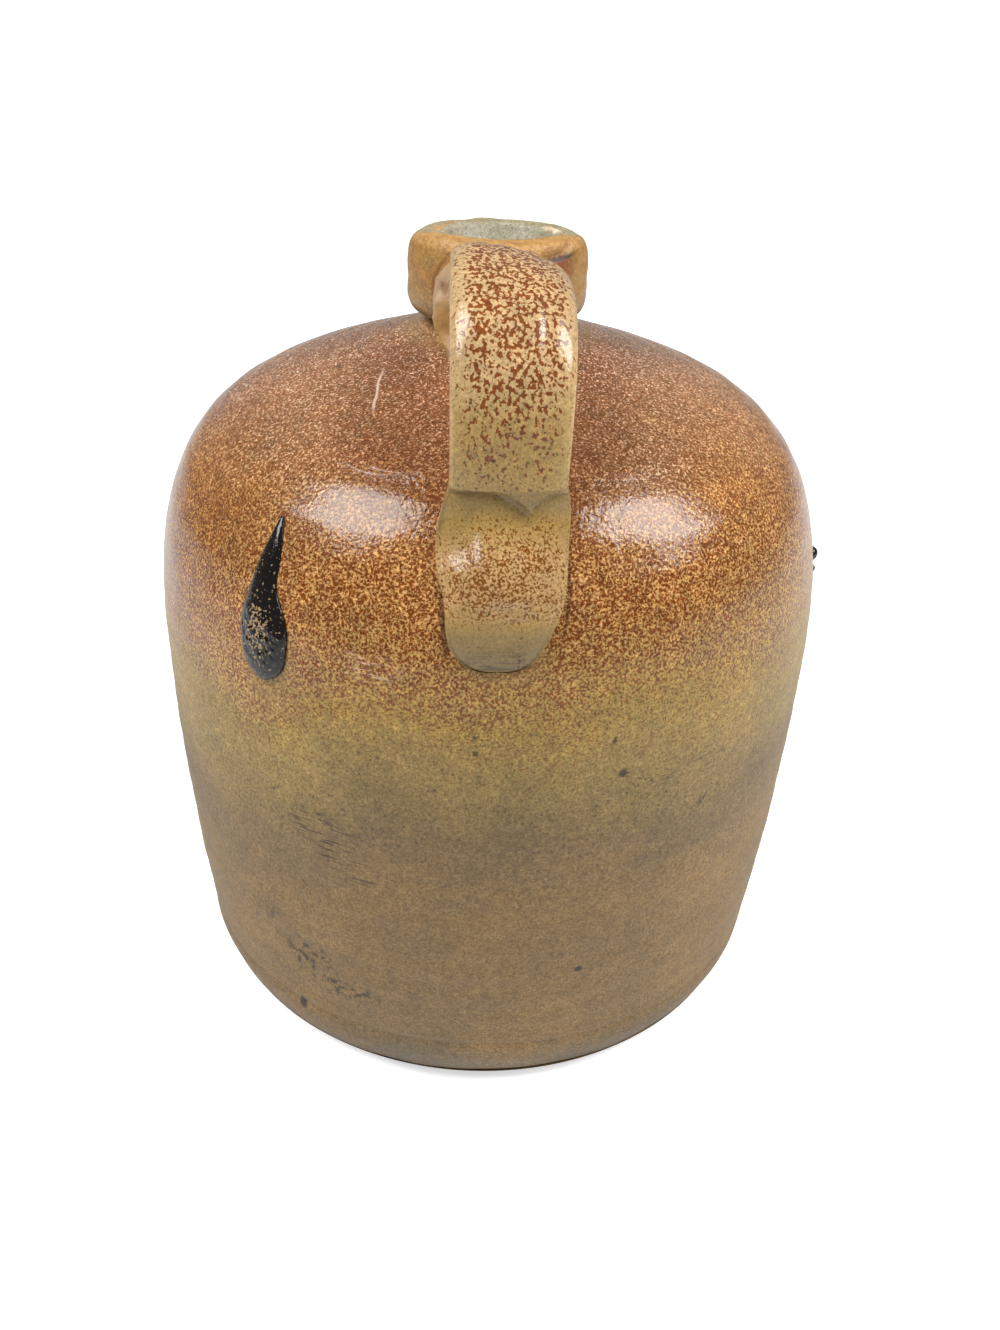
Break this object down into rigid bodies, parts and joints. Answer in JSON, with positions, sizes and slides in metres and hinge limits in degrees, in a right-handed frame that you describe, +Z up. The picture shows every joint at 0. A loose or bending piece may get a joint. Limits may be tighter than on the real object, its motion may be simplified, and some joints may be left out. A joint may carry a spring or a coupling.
{
  "type": "stoneware jug",
  "caption": "Salt-glazed stoneware jug with a domed shoulder, a thick rolled collar round a narrow mouth and a strap handle from the collar to the shoulder.",
  "frame": {"origin": "middle of the flat underside, on the jug's axis", "axes": "+Z up along the mouth's axis; the handle stands towards -Y; +X is to the right of someone who looks at the handle"},
  "size_m": [0.188, 0.1882, 0.2237],
  "materials": {
    "floor_slab": "matt, bare fired clay",
    "lower_wall": "salt-glazed satin, tan over pinkish clay",
    "shoulder_dome": "salt-glazed gloss, rust-brown mottle",
    "neck": "satin, grey-green",
    "collar": "salt-glazed satin, orange tan",
    "handle_root": "salt-glazed satin, greyish tan",
    "handle_strap": "salt-glazed gloss, olive khaki with brown blotches",
    "handle_terminal": "salt-glazed gloss, olive khaki with orange-brown mottle",
    "kiln_drip_long": "glossy black ash glass",
    "kiln_drops_side": "glossy black ash glass",
    "slip_lining": "satin brown-green slip"
  },
  "bodies": {
    "root": {"floor_slab": "floor_slab", "lower_wall": "lower_wall", "shoulder_dome": "shoulder_dome", "neck": "neck", "collar": "collar", "handle_root": "handle_root", "handle_strap": "handle_strap", "handle_terminal": "handle_terminal", "kiln_drip_long": "kiln_drip_long", "kiln_drops_side": "kiln_drops_side", "slip_lining": "slip_lining"}
  },
  "joints": []
}
